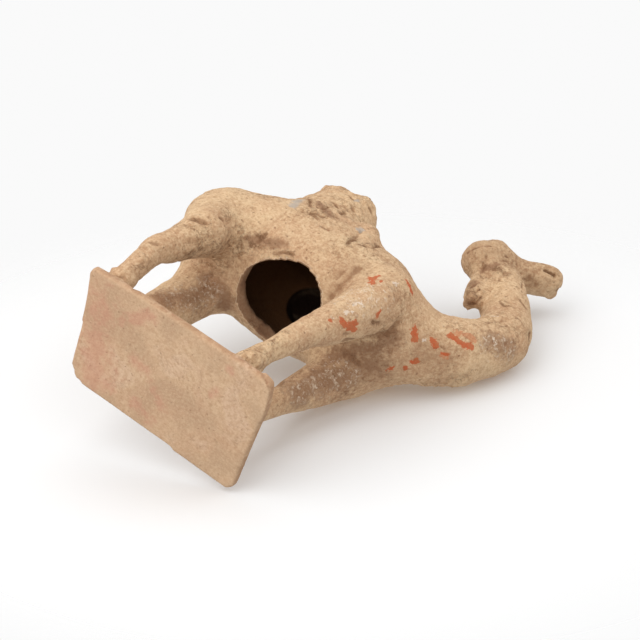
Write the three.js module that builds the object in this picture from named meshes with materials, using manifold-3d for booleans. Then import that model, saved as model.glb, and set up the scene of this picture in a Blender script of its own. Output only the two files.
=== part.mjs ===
// A hollow pottery camel with its head thrown back, and the thin hand-cut slab that its feet are luted to.
// +X is the way the camel faces, +Y is its left and +Z is up from the middle of the slab's underside, in millimetres.
import * as THREE from "three";
import { edgeTable, triTable } from "three/addons/objects/MarchingCubes.js";
import { mergeVertices } from "three/addons/utils/BufferGeometryUtils.js";
import Module from "manifold-3d";

const wasm = await Module();
wasm.setup();

// Driving sizes
const SLAB_LENGTH = 164;
const SLAB_WIDTH = 105;
const SLAB_THICK = 7;
const BARREL_HEIGHT = 210; // the middle of the barrel above the slab's underside
const BARREL_RADIUS = 57; // at its deepest, under the humps
const WALL = 8.5; // how thick the clay of the barrel is
const BELLY_HOLE = 38; // radius of the round hole cut under the belly
const RECESS_RADIUS = 18; // of the round recess pressed into the ceiling of the hollow
const RECESS_DEPTH = 5.5;
const FORE_FEET = 48; // the forefeet stand this far ahead of the slab's middle
const HIND_FEET = -75; // and the hind feet this far behind it
const FOOT_RADIUS = 12;
const LUTE_GAP = 0.3; // the feet and the slab are two bodies of clay that all but touch
const HUMP_HEAD = 24; // radius of each blunt hump head
const MOUTH_GAPE = 4; // how far the lips part at the tip of the muzzle
const BODY_STEP = 9.3; // the facets of the barrel and neck
const LEG_STEP = 12; // and along the legs
const HEAD_STEP = 6; // and on the head and the luted feet
const HOLLOW_STEP = 13; // and inside
const FEET_TOP = 20; // heights where the facets change size
const LEGS_TOP = 130;
const HEAD_BASE = 350;
const NECK_BACK = 62; // ahead of this, and this near to the middle plane, the facets are as fine as the head's
const NECK_HALF = 24;

// A ball of clay: the value at a point is its distance to the surface, below zero inside.
function ball({ x, y = 0, z, r, along = 1, across = 1, up = 1 }) {
  return (px, py, pz) => {
    const from = Math.hypot((px - x) / along, (py - y) / across, (pz - z) / up);
    return (from - r) * Math.min(along, across, up);
  };
}

// A roll of clay through round stations, each with its own place and radius.
function roll(stations) {
  const spans = stations.slice(1).map((to, i) => ({ from: stations[i], to }));
  return (px, py, pz) => {
    let nearest = Infinity;
    for (const { from: a, to: b } of spans) {
      const [ay, by] = [a.y ?? 0, b.y ?? 0];
      const [dx, dy, dz] = [b.x - a.x, by - ay, b.z - a.z];
      const along = (px - a.x) * dx + (py - ay) * dy + (pz - a.z) * dz;
      const t = THREE.MathUtils.clamp(along / (dx * dx + dy * dy + dz * dz), 0, 1);
      const from = Math.hypot(px - a.x - t * dx, py - ay - t * dy, pz - a.z - t * dz);
      nearest = Math.min(nearest, from - a.r - t * (b.r - a.r));
    }
    return nearest;
  };
}

// Joins forms with a thumbed fillet: each entry is a form, or a form with its own fillet.
function blend(fillet, ...forms) {
  return (px, py, pz) => {
    let value = Infinity;
    for (const entry of forms) {
      const [form, k] = Array.isArray(entry) ? entry : [entry, fillet];
      const next = form(px, py, pz);
      const h = Math.max(k - Math.abs(value - next), 0) / k;
      value = Math.min(value, next) - (Number.isFinite(h) ? h * h * k * 0.25 : 0);
    }
    return value;
  };
}

// The barrel of the body, from the rump to the chest: each station is a share of the deepest one.
const barrelAt = (x, y, share) => ({ x, y, z: BARREL_HEIGHT, r: BARREL_RADIUS * share });
const barrel = roll([
  barrelAt(-82, 3, 0.755),
  barrelAt(-60, 4, 0.885),
  barrelAt(-30, 6, 0.965),
  barrelAt(0, 7, 1),
  barrelAt(30, 5, 0.95),
  barrelAt(60, 2, 0.81),
]);

// The withers carry the line of the back from the humps down to the neck.
const withers = roll([
  { x: 2, y: -1, z: 245, r: 43 },
  { x: 44, y: -1, z: 241, r: 40.5 },
  { x: 80, y: 0, z: 223, r: 33 },
]);

// The neck dips forward from the chest, then rises and leans back to carry the head.
const neck = roll([
  { x: 82, y: 3, z: 216, r: 36 },
  { x: 111, y: 2, z: 228, r: 29.5 },
  { x: 131, y: 1, z: 247, r: 28.5 },
  { x: 146, z: 270, r: 25.5 },
  { x: 150.5, z: 295, r: 25.8 },
  { x: 145, z: 320, r: 23 },
  { x: 132, z: 346, r: 22 },
  { x: 113, z: 374, r: 22 },
]);

// The head is thrown back: a round poll with two ears, a slim bridge and a blunt muzzle.
const ear = (y) => ball({ x: 86, y, z: 408, r: 5.5, along: 1.4 });
const head = blend(
  8,
  roll([
    { x: 91.3, y: -4, z: 401, r: 20.3 },
    { x: 110, y: 1, z: 409, r: 16.5 },
    { x: 126, y: 1, z: 421, r: 15.5 },
    { x: 136, z: 429, r: 16 },
  ]),
  ball({ x: 84, y: -5.5, z: 388, r: 19.5 }),
  [ball({ x: 142, y: -0.5, z: 431, r: 10, across: 1.4 }), 4],
  [ear(-17.5), 5],
  [ear(13), 5],
);

// A leg is a roll of clay from the foot to the body: each station is its height, how far it stands ahead of
// the foot and out from it, and its radius.
function leg(foot, stations) {
  const side = Math.sign(foot.y);
  return roll(
    [[5, 0, 0, FOOT_RADIUS], ...stations].map(([z, ahead, out, r]) => ({
      x: foot.x + ahead,
      y: foot.y + side * out,
      z,
      r,
    })),
  );
}
const legs = [
  leg({ x: FORE_FEET, y: -40 }, [
    [24, 1, 0, 11],
    [50, 2, 0, 9.5],
    [97, 8, -1, 13.5],
    [140, 16, -3, 18.5],
    [184, 20, -5, 22],
    [212, 18, -9, 23],
  ]),
  leg({ x: FORE_FEET - 1, y: 31 }, [
    [24, 0, -2, 9],
    [50, 1, -1.5, 9.5],
    [97, 7, 1, 13],
    [140, 15, 3, 18.5],
    [184, 23, 3, 24],
    [212, 25, 1, 26],
  ]),
  leg({ x: HIND_FEET + 7, y: -39 }, [
    [28, -3, 0.8, 10.5],
    [55, -8.5, 1, 10.5],
    [76, -12.5, -0.5, 12.3],
    [100, -9, -3, 14],
    [138, -7, -5, 20],
    [186, -22, -21, 27],
  ]),
  leg({ x: HIND_FEET, y: 29 }, [
    [24, -3, 0.5, 11],
    [50, -5, 1.5, 11.5],
    [75, -5, 4, 14.5],
    [105, 1, 5.5, 20],
    [142, 4, 4, 21.5],
    [184, 2, -2, 30],
  ]),
];

// Two blunt humps stand close together on one broad base, with knobs of rough clay pressed on round their heads
// and one small lump beside the base.
const rearHump = { x: -44, y: -6, z: 320, r: HUMP_HEAD - 1 };
const frontHump = { x: -27, y: -6.5, z: 323.5, r: HUMP_HEAD };
const KNOBS = 11;
const knobs = Array.from({ length: KNOBS }, (_, i) => {
  const hump = i % 2 ? rearHump : frontHump;
  const turn = (i / KNOBS) * 2 * Math.PI;
  const climb = 0.35 + 0.5 * ((i * 0.37) % 1);
  return ball({
    x: hump.x + hump.r * Math.cos(turn) * Math.cos(climb),
    y: hump.y + hump.r * Math.sin(turn) * Math.cos(climb),
    z: hump.z - 12 + hump.r * Math.sin(climb),
    r: 6,
  });
});
const humps = blend(
  12,
  roll([{ x: -36, z: 236, r: 45 }, rearHump]),
  roll([{ x: -19, z: 240, r: 42.5 }, frontHump]),
  ...knobs.map((knob) => [knob, 4]),
  [ball({ x: -25, y: -22.5, z: 334.5, r: 10.5 }), 6],
  [ball({ x: 9.5, y: -34, z: 274, r: 10 }), 4],
);

const tail = roll([
  { x: -102, y: -8, z: 248, r: 8 },
  { x: -119, y: -4, z: 235, r: 8 },
  { x: -125, y: 0, z: 205, r: 6 },
]);

// A tuft of mane hangs behind the neck, below the long topknot.
const mane = roll([
  { x: 100, y: 0, z: 362, r: 13 },
  { x: 106, y: -4, z: 325, r: 9.6 },
]);

// Wavy locks of hair run down the throat.
const LOCKS = 7;
const locks = Array.from({ length: LOCKS }, (_, i) => {
  const t = i / (LOCKS - 1);
  return ball({ x: 145 + 22 * Math.sin(t * Math.PI), y: 5 * Math.sin(i * 2.1), z: 350 - 100 * t, r: 6.5, up: 1.3 });
});

// The direction from the barrel's axis to the recess, high on the left, and the flank that is thicker over it.
const RECESS_TILT = THREE.MathUtils.degToRad(50);
const fromAxis = (far) => ({ y: 6 + far * Math.sin(RECESS_TILT), z: BARREL_HEIGHT + far * Math.cos(RECESS_TILT) });
const thickFlank = ball({ x: -3, ...fromAxis(30), r: 30 });

const skin = blend(
  14,
  barrel,
  withers,
  [humps, 16],
  neck,
  ...legs,
  [head, 10],
  [mane, 6],
  [tail, 8],
  [thickFlank, 8],
  ...locks.map((lock) => [lock, 5]),
);

// The hollow follows the barrel one wall inside it, rises into the humps and runs a little way into the neck.
const hollow = blend(
  10,
  barrel,
  roll([
    { x: 84, z: 218, r: 36 },
    { x: 112, z: 229, r: 31 },
    { x: 130, z: 245, r: 26 },
  ]),
  humps,
);

// Grid lines from one end to the other, with a step that the place decides.
function gridLines(from, to, stepAt) {
  const lines = [from];
  while (lines.at(-1) < to) lines.push(lines.at(-1) + stepAt(lines.at(-1)));
  return lines;
}

// The corners of a grid cell and the node and axis of each of its edges, in the order of the lookup tables.
const CORNERS = [
  [0, 0, 0],
  [1, 0, 0],
  [1, 1, 0],
  [0, 1, 0],
  [0, 0, 1],
  [1, 0, 1],
  [1, 1, 1],
  [0, 1, 1],
];
const [X, Y, Z] = [0, 1, 2];
const EDGES = [0, 1, 3, 0, 4, 5, 7, 4, 0, 1, 2, 3].map((corner, i) => ({
  corner: CORNERS[corner],
  axis: i > 7 ? Z : i % 2 ? Y : X,
}));
const TABLE_ROW = 16;

// The surface where a form is zero, as a solid with shared vertices, by marching cubes on uneven grid lines.
// Values near zero are pushed off it, so that no triangle is thinner than a small share of a cell.
function surfaceOf(form, xs, ys, zs) {
  const lines = [xs, ys, zs];
  const [nx, ny, nz] = lines.map((list) => list.length);
  const at = (i, j, k) => i + nx * (j + ny * k);
  const leastValue = 0.08 * Math.min(...lines.map((list) => list[1] - list[0]));
  const values = new Float32Array(nx * ny * nz);
  for (let k = 0; k < nz; k++)
    for (let j = 0; j < ny; j++)
      for (let i = 0; i < nx; i++) {
        const value = form(xs[i], ys[j], zs[k]);
        values[at(i, j, k)] = Math.sign(value || 1) * Math.max(Math.abs(value), leastValue);
      }
  const positions = [];
  const known = new Map();
  // The vertex where the surface crosses the grid edge that leaves a node along one axis.
  function crossing(node, axis) {
    const key = at(...node) * lines.length + axis;
    if (known.has(key)) return known.get(key);
    const next = node.map((n, a) => (a === axis ? n + 1 : n));
    const [a, b] = [values[at(...node)], values[at(...next)]];
    const point = node.map((n, q) => THREE.MathUtils.lerp(lines[q][n], lines[q][next[q]], a / (a - b)));
    known.set(key, known.size);
    positions.push(...point);
    return known.size - 1;
  }
  const triangles = [];
  for (let k = 0; k < nz - 1; k++)
    for (let j = 0; j < ny - 1; j++)
      for (let i = 0; i < nx - 1; i++) {
        const inside = CORNERS.map(([a, b, c]) => values[at(i + a, j + b, k + c)] < 0);
        const bits = inside.reduce((sum, is, n) => sum | (is << n), 0);
        if (!edgeTable[bits]) continue;
        for (let n = bits * TABLE_ROW; triTable[n] !== -1; n++) {
          const { corner, axis } = EDGES[triTable[n]];
          triangles.push(crossing([i + corner[X], j + corner[Y], k + corner[Z]], axis));
        }
      }
  return solid(new Float32Array(positions), new Uint32Array(triangles));
}

// A closed mesh as a solid, turned the right way out.
function solid(vertProperties, triVerts) {
  const make = () => new wasm.Manifold(new wasm.Mesh({ numProp: 3, vertProperties, triVerts }));
  const made = make();
  if (made.volume() > 0) return made;
  for (let i = 0; i < triVerts.length; i += 3)
    [triVerts[i + 1], triVerts[i + 2]] = [triVerts[i + 2], triVerts[i + 1]];
  return make();
}

// A flat outline pushed along +Z, moved by the given steps, as a solid.
function pushed(outline, depth, ...moves) {
  const geometry = new THREE.ExtrudeGeometry(outline, { depth, bevelEnabled: false, curveSegments: 12 });
  moves.forEach((move) => move(geometry));
  geometry.deleteAttribute("normal");
  geometry.deleteAttribute("uv");
  const merged = mergeVertices(geometry, 1e-3);
  return solid(merged.attributes.position.array, new Uint32Array(merged.index.array));
}

// The slab was cut by hand: its sides aren't quite square, three corners are round and one is knocked off.
function slab() {
  const [l, w] = [SLAB_LENGTH / 2, SLAB_WIDTH / 2];
  const outline = new THREE.Shape();
  outline.moveTo(-l + 3, -w + 1);
  outline.lineTo(l - 8, -w);
  outline.quadraticCurveTo(l - 1, -w, l, -w + 8);
  outline.lineTo(l - 2, w - 7);
  outline.quadraticCurveTo(l - 3, w + 1, l - 9, w + 1.5);
  outline.lineTo(-l + 11, w - 2);
  outline.lineTo(-l + 3, w - 11);
  outline.lineTo(-l + 1, w - 21);
  outline.lineTo(-l, -w + 5);
  outline.closePath();
  return pushed(outline, SLAB_THICK);
}

// The round hole under the belly, a little wider than deep.
function bellyHole() {
  const outline = new THREE.Shape();
  outline.absellipse(2, 3, BELLY_HOLE, BELLY_HOLE + 1, 0, 2 * Math.PI);
  const [cutBelow, cutDeep] = [80, 70];
  return pushed(outline, cutDeep, (g) => g.translate(0, 0, BARREL_HEIGHT - cutBelow));
}

// The round recess seen through the hole, pressed into the wall of the hollow high on the left.
function recess() {
  const outline = new THREE.Shape();
  outline.absarc(0, 0, RECESS_RADIUS, 0, 2 * Math.PI);
  const start = BARREL_RADIUS - WALL - 2 * RECESS_DEPTH;
  return pushed(
    outline,
    3 * RECESS_DEPTH,
    (g) => g.rotateX(-RECESS_TILT),
    (g) => g.translate(-3, fromAxis(start).y, fromAxis(start).z),
  );
}

// The lips part in a wedge that opens towards the tip of the muzzle.
function mouth() {
  const corner = { x: 129, z: 425 };
  const tip = { x: 157, z: 427 };
  const through = 60;
  const outline = new THREE.Shape();
  outline.moveTo(corner.x, corner.z);
  outline.lineTo(tip.x, tip.z);
  outline.lineTo(tip.x, tip.z + MOUTH_GAPE);
  outline.closePath();
  return pushed(
    outline,
    through,
    (g) => g.rotateX(Math.PI / 2),
    (g) => g.translate(0, through / 2, 0),
  );
}

const FOOT_LEVEL = SLAB_THICK + LUTE_GAP;
const onSlab = (x, y, z) => Math.max(skin(x, y, z), FOOT_LEVEL - z);
const stepX = (x) => (x < NECK_BACK ? BODY_STEP : HEAD_STEP);
const stepY = (y) => (Math.abs(y + 3) < NECK_HALF ? HEAD_STEP : BODY_STEP);
const stepZ = (z) => (z < FEET_TOP || z > HEAD_BASE ? HEAD_STEP : z < LEGS_TOP ? LEG_STEP : BODY_STEP);
const stepInside = () => HOLLOW_STEP;
const outside = surfaceOf(
  onSlab,
  gridLines(-145, 185, stepX),
  gridLines(-75, 75, stepY),
  gridLines(-3, 470, stepZ),
);
const inside = surfaceOf(
  (x, y, z) => hollow(x, y, z) + WALL,
  gridLines(-140, 150, stepInside),
  gridLines(-60, 60, stepInside),
  gridLines(140, 350, stepInside),
);
const clay = outside.subtract(inside).subtract(recess()).subtract(bellyHole()).subtract(mouth());

function geometryOf(shape) {
  const { vertProperties, triVerts } = shape.getMesh();
  return new THREE.BufferGeometry()
    .setAttribute("position", new THREE.BufferAttribute(vertProperties, 3))
    .setIndex(new THREE.BufferAttribute(triVerts, 1));
}

const pottery = new THREE.MeshStandardMaterial({ color: 0xb39878, roughness: 0.95, metalness: 0 });
function piece(name, shape) {
  const mesh = new THREE.Mesh(geometryOf(shape), pottery);
  mesh.name = name;
  return mesh;
}

export default new THREE.Group().add(piece("camel_figure", clay), piece("base_slab", slab()));
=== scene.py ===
# %% [markdown]
# # A pottery camel on its slab
# The real figure is hollow, hand-built earthenware: a camel with its head thrown back, luted by its four
# feet to a thin slab and fired with it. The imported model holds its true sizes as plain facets. This file
# takes that form, melts the facets into hand-worked clay, gives it the scars and the pigment that are
# left on it, and lights it.

import bmesh
import bpy
import numpy as np
from mathutils import Matrix, Vector
from mathutils.bvhtree import BVHTree


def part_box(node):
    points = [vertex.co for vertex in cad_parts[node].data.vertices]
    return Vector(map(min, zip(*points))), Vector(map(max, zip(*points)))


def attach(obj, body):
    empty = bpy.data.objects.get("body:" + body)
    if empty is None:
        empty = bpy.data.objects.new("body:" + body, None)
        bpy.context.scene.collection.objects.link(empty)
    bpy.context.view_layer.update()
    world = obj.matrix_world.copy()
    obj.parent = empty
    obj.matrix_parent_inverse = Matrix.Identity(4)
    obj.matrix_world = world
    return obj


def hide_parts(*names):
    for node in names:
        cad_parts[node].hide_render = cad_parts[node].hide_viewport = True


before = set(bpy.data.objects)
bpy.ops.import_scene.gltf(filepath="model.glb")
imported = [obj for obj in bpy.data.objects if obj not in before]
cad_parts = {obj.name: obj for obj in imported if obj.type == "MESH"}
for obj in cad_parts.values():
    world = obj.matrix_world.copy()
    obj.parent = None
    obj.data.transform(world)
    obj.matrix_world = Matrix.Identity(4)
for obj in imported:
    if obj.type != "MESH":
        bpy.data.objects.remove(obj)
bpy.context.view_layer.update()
MM = 0.001
slab_low, slab_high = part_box("base_slab")

# %% [markdown]
# ## The camera
# The figure was photographed lying on its left side, with the underside of the slab towards the lens. The
# part itself stands upright, so here the camera does the lying down: it looks up from below the slab, in
# front of the camel's right side, and is rolled until the back of the camel is at the top of the picture.
# A long lens, about 1.27 m away, gives the gentle perspective of the photo.

# %% Set the camera
LENS = 84.4  # millimetres, as the sensor is
SENSOR = 36.0
CAMERA_AT = Vector((0.3718, -0.6771, -0.7997))
PICTURE_RIGHT = Vector((0.8061, -0.3162, 0.5002))
PICTURE_DOWN = Vector((0.5242, 0.7736, -0.3559))
TOWARDS_LENS = PICTURE_DOWN.cross(PICTURE_RIGHT)


def in_scene(name, data):
    """A new object that shows some data, linked to the scene."""
    made = bpy.data.objects.new(name, data)
    bpy.context.scene.collection.objects.link(made)
    return made


def set_camera():
    camera = in_scene("camera", bpy.data.cameras.new("camera"))
    camera.data.lens = LENS
    camera.data.sensor_width = SENSOR
    turn = Matrix((PICTURE_RIGHT, -PICTURE_DOWN, TOWARDS_LENS)).transposed().to_4x4()
    camera.matrix_world = Matrix.Translation(CAMERA_AT) @ turn
    bpy.context.scene.camera = camera
    return camera


camera = set_camera()
print("the camera stands at", [round(x, 3) for x in camera.location], "m")

# %% [markdown]
# ## Maths on sockets
# Both the relief and the colours of the clay are rules on a place in space. Written as node by node calls
# such rules are hard to read, so one small class wraps a socket and lets Python's own operators add the
# Math nodes. A `Tree` adds any other node: first its settings, then the values or links of its sockets.


# %% Wrap a socket
class Value:
    """A socket that holds a number at every place, with Python's operators."""

    def __init__(self, tree, socket):
        self.tree = tree
        self.socket = socket

    def math(self, operation, *others):
        inputs = dict(enumerate((self, *others)))
        return self.tree.add("ShaderNodeMath", {"operation": operation}, inputs)

    def __add__(self, other):
        return self.math("ADD", other)

    def __sub__(self, other):
        return self.math("SUBTRACT", other)

    def __mul__(self, other):
        return self.math("MULTIPLY", other)

    def __rsub__(self, other):
        return (self * -1.0) + other

    __radd__ = __add__
    __rmul__ = __mul__

    def largest(self, other):
        return self.math("MAXIMUM", other)

    def size(self):
        return self.math("ABSOLUTE")

    def ramp(self, low, high, at_low=0.0, at_high=1.0):
        """A smooth step from one value to another between two limits."""
        inputs = {"Value": self, "From Min": low, "From Max": high, "To Min": at_low, "To Max": at_high}
        return self.tree.add("ShaderNodeMapRange", {"interpolation_type": "SMOOTHSTEP"}, inputs)


class Tree:
    """A node tree with one method that adds nodes of any kind."""

    def __init__(self, nodes_of):
        self.tree = nodes_of

    def node(self, kind, settings=None, inputs=None):
        node = self.tree.nodes.new(kind)
        for name, value in (settings or {}).items():
            setattr(node, name, value)
        for key, value in (inputs or {}).items():
            socket = node.inputs[key]
            if isinstance(value, Value):
                self.tree.links.new(value.socket, socket)
            elif isinstance(value, bpy.types.NodeSocket):
                self.tree.links.new(value, socket)
            else:
                socket.default_value = value
        return node

    def add(self, kind, settings=None, inputs=None, output=0):
        return Value(self, self.node(kind, settings, inputs).outputs[output])

    def distance(self, place, point):
        """How far a place is from a fixed point, in metres."""
        made = self.node("ShaderNodeVectorMath", {"operation": "DISTANCE"}, {0: place, 1: point})
        return Value(self, made.outputs["Value"])

    def along(self, way, direction):
        """How far a way points in a fixed direction, from -1 to 1."""
        made = self.node("ShaderNodeVectorMath", {"operation": "DOT_PRODUCT"}, {0: way, 1: direction})
        return Value(self, made.outputs["Value"])

    def axes(self, place):
        """The X, Y and Z of a place as numbers."""
        parts = self.node("ShaderNodeSeparateXYZ", None, {0: place})
        return [Value(self, socket) for socket in parts.outputs]

    def warped(self, place, per_metre, reach):
        """A place pushed about by noise, by half of the reach at the most."""
        push = self.node("ShaderNodeTexNoise", None, {"Vector": place, "Scale": per_metre, "Detail": 2.0})
        inputs = {0: push.outputs["Color"], 1: (reach, reach, reach), 2: place}
        return self.node("ShaderNodeVectorMath", {"operation": "MULTIPLY_ADD"}, inputs).outputs[0]

    def stretched(self, place, scales):
        """A place scaled along each axis, so that a pattern on it is longest where the scale is smallest."""
        made = self.node("ShaderNodeVectorMath", {"operation": "MULTIPLY"}, {0: place, 1: scales})
        return made.outputs[0]

    def noise(self, place, per_metre, detail=2.0, roughness=0.5, twist=0.0):
        """Soft cloudy noise from 0 to 1 with so many blots in each metre."""
        names = ("Vector", "Scale", "Detail", "Roughness", "Distortion")
        inputs = dict(zip(names, (place, per_metre, detail, roughness, twist)))
        return self.add("ShaderNodeTexNoise", None, inputs)

    def mix(self, share, first, second):
        """One colour turning into another."""
        made = self.node("ShaderNodeMix", {"data_type": "RGBA"}, {0: share, 6: first, 7: second})
        return made.outputs[2]


def empty_tree(owner):
    """The node tree of a new material or world, with nothing in it."""
    owner.use_nodes = True
    owner.node_tree.nodes.clear()
    return Tree(owner.node_tree)


print("sockets take Python's operators from here on")

# %% [markdown]
# ## Melting the facets
# The solid is a mesh of loose flat triangles about 9 mm across. Its camel and slab are two bodies a hair
# apart, where the real clay was luted together. A voxel remesh turns both into one even skin of small
# quads, after the feet have been let down into the slab. Then each point is drawn to the middle of its
# neighbours, which melts the facets, and what that took off in the broad is put back, so that thin legs
# stay as thick as they are. The slab keeps its cut edges, so it melts less, and so do the small forms of
# the head and the belly hole.

# %% Join the two bodies of clay
VOXEL = 2.2 * MM
WELD = 0.01 * MM  # corners nearer to each other than this are one
SLAB_TOP = slab_high.z
SOLES_BELOW = SLAB_TOP + 0.6 * MM  # the feet's soles lie between the slab's top and this height


def joined_clay():
    """The welded facets of camel and slab in one mesh, with the feet let down into the slab."""
    shape = bmesh.new()
    for name in ("camel_figure", "base_slab"):
        shape.from_mesh(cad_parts[name].data)
    bmesh.ops.remove_doubles(shape, verts=shape.verts, dist=WELD)
    for vert in shape.verts:
        if SLAB_TOP < vert.co.z < SOLES_BELOW:
            vert.co.z = SLAB_TOP / 2
    mesh = bpy.data.meshes.new("clay")
    shape.to_mesh(mesh)
    shape.free()
    return mesh


def made_by(lump, kind, settings, inputs=()):
    """The mesh that one modifier makes of an object, with a node group's inputs set by their identifiers."""
    modifier = lump.modifiers.new("make", kind)
    for name, value in settings.items():
        setattr(modifier, name, value)
    for identifier, value in inputs:
        modifier[identifier] = value
    graph = bpy.context.evaluated_depsgraph_get()
    made = bpy.data.meshes.new_from_object(lump.evaluated_get(graph))
    bpy.data.objects.remove(lump)
    return made


clay = made_by(in_scene("lump", joined_clay()), "REMESH", {"mode": "VOXEL", "voxel_size": VOXEL})
print("the even skin has", len(clay.vertices), "points and", len(clay.polygons), "quads")

# %% Melt them
MELT_ROUNDS = 14
MELT_STEP = 0.5
SLAB_MELT = 0.35  # the share of the melting that the slab gets
SLAB_FADE = 5 * MM  # above the slab it grows to the full share over this height
HEAD_BASE = 0.355  # from this height up, the small forms of the head begin
HEAD_MELT = 0.5
HOLE_AT = (2 * MM, 3 * MM)  # its middle in X and Y
HOLE_RADIUS = 38.5 * MM
HOLE_BELOW = 0.11  # the hole's edge lies above this height
CEILING = 0.195  # and below this one, above which nothing but the hollow looks inwards
CRISP = 3 * MM  # so near its edge the hole keeps the cut of the tool
CUT_MELT = 0.4


def read_points(mesh):
    flat = np.zeros(len(mesh.vertices) * 3)
    mesh.vertices.foreach_get("co", flat)
    return flat.reshape(-1, 3)


def write_points(mesh, points):
    mesh.vertices.foreach_set("co", points.ravel())
    mesh.update()


def round_hole(points):
    """How far points are from the hole's middle, in X and Y and in all, and whether at its height."""
    off = points[:, :2] - np.array(HOLE_AT)
    low = (points[:, 2] > HOLE_BELOW) & (points[:, 2] < CEILING)
    return off, np.hypot(*off.T), low


def melt(field, edges, share, rounds):
    """Draws each row of a field towards the mean of its neighbours' rows."""
    first, second = edges.T
    count = np.bincount(edges.ravel(), minlength=len(field))[:, None]
    for _ in range(rounds):
        total = np.zeros_like(field)
        for axis in range(3):
            total[:, axis] = np.bincount(first, field[second, axis], len(field))
            total[:, axis] += np.bincount(second, field[first, axis], len(field))
        field = field + MELT_STEP * share * (total / count - field)
    return field


def melt_facets(mesh, rounds):
    """Melts the facets of a mesh, and tells how far that moved each point."""
    points = read_points(mesh)
    edges = np.zeros(len(mesh.edges) * 2, dtype=int)
    mesh.edges.foreach_get("vertices", edges)
    edges = edges.reshape(-1, 2)
    _, reach, low = round_hole(points)
    share = np.clip((points[:, 2:] - SLAB_TOP) / SLAB_FADE, SLAB_MELT, 1)
    share[points[:, 2] > HEAD_BASE] *= HEAD_MELT
    share[low & (np.abs(reach - HOLE_RADIUS) < CRISP)] *= CUT_MELT
    soft = melt(points, edges, share, rounds)
    soft += melt(points - soft, edges, share, rounds)
    write_points(mesh, soft)
    return np.linalg.norm(soft - points, axis=1)


moved = melt_facets(clay, MELT_ROUNDS)
print("melting moved the points by", round(moved.mean() / MM, 2), "mm on average")

# %% [markdown]
# ## Triangles where they show
# The walls of the hollow are almost as large as the outside, but they lie in the dark. So the points that
# face into the hollow are found first: on the walls inside, the faces look towards the middle of the
# body. There a Decimate modifier takes triangles away. The head, the bend of the neck, the rough humps
# and the slab's right front corner hold the smallest forms, and there the quads are cut in four.

# %% Find the walls of the hollow
BODY_LINES = (
    # the middle lines of the barrel, the humps and the root of the neck
    (Vector((-82, 3, 210)) * MM, Vector((60, 2, 210)) * MM),
    (Vector((-30, -2, 236)) * MM, Vector((-33, -5, 305)) * MM),
    (Vector((84, 0, 218)) * MM, Vector((128, 0, 243)) * MM),
)
INNER_RADIUS = 49.5 * MM  # of the hollow at its widest, below the ceiling
REACH_ABOVE = 58 * MM  # from the middle lines, above the ceiling
LOOKS_IN = (-1.4 / 3, -0.4 / 3)  # a wall is full up to the first facing, and ends at the second


def near_line(points, start, end):
    """The nearest places to the points on a straight line."""
    start, along = np.array(start), np.array(end - start)
    share = np.clip((points - start) @ along / max(along @ along, 1e-12), 0, 1)
    return start + share[:, None] * along


def read_normals(mesh):
    flat = np.zeros(len(mesh.vertices) * 3)
    mesh.vertex_normals.foreach_get("vector", flat)
    return flat.reshape(-1, 3)


def inside_share(mesh):
    """1 on the walls of the hollow and 0 on the outside and on the cut edge of the belly hole."""
    points, normals = read_points(mesh), read_normals(mesh)
    nearest = np.full(len(points), np.inf)
    facing = np.zeros(len(points))
    for start, end in BODY_LINES:
        away = points - near_line(points, start, end)
        far = np.linalg.norm(away, axis=1)
        closer = far < nearest
        nearest[closer] = far[closer]
        facing[closer] = ((away * normals).sum(axis=1) / far)[closer]
    looks_in = np.interp(facing, LOOKS_IN, (1, 0))
    deep = np.clip((INNER_RADIUS + MM - nearest) / MM, 0, 1)
    return looks_in * np.where(points[:, 2] > CEILING, nearest < REACH_ABOVE, deep)


hollow = inside_share(clay)
print("the walls of the hollow hold", int((hollow > 0.5).sum()), "points")

# %% Thin them out
KEPT_SHARE = 0.78
THINNED_FROM = 0.9  # the weight from which a point may go


def thinned(mesh, weights, kept):
    """The mesh with fewer triangles where the weights are high."""
    lump = in_scene("lump", mesh)
    group = lump.vertex_groups.new(name="thin")
    for vert in np.flatnonzero(weights > THINNED_FROM):
        group.add([int(vert)], 1.0, "REPLACE")
    settings = {"ratio": kept, "vertex_group": group.name, "vertex_group_factor": 10.0}
    return made_by(lump, "DECIMATE", settings)


def triangles(mesh):
    """How many triangles a mesh holds."""
    mesh.calc_loop_triangles()
    return len(mesh.loop_triangles)


clay = thinned(clay, hollow, KEPT_SHARE)
print("thinned to", triangles(clay), "triangles")

# %% Cut the quads in the worked places
WORKED_PLACES = {
    # the middle of each place and how far it reaches, in metres
    "head": (Vector((0.112, 0.0, 0.405)), 0.056),
    "bend of the neck": (Vector((0.130, -0.012, 0.335)), 0.026),
    "right side of the humps": (Vector((-0.022, -0.044, 0.275)), 0.042),
    "front hump": (Vector((-0.030, -0.020, 0.320)), 0.034),
    "corner of the slab": (Vector((0.066, -0.044, 0.004)), 0.022),
}
SECOND_MELT = 2  # rounds


def cut_finer(mesh, places):
    shape = bmesh.new()
    shape.from_mesh(mesh)
    edges = dict.fromkeys(
        edge
        for face in shape.faces
        if any((face.calc_center_median() - middle).length < reach for middle, reach in places)
        for edge in face.edges
    )
    bmesh.ops.subdivide_edges(shape, edges=list(edges), cuts=1, use_grid_fill=True)
    shape.to_mesh(mesh)
    shape.free()


cut_finer(clay, WORKED_PLACES.values())
melt_facets(clay, SECOND_MELT)
print("after the cut there are", triangles(clay), "triangles")

# %% [markdown]
# The belly hole was cut with one turn of a thin tool, so its edge is crisp and nearly round. The points
# of its cut face are set on that round again, with the slight waver of a hand. Where the tool ran wide,
# towards the right hind leg, the clay about the edge is drawn outwards with it.

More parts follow.
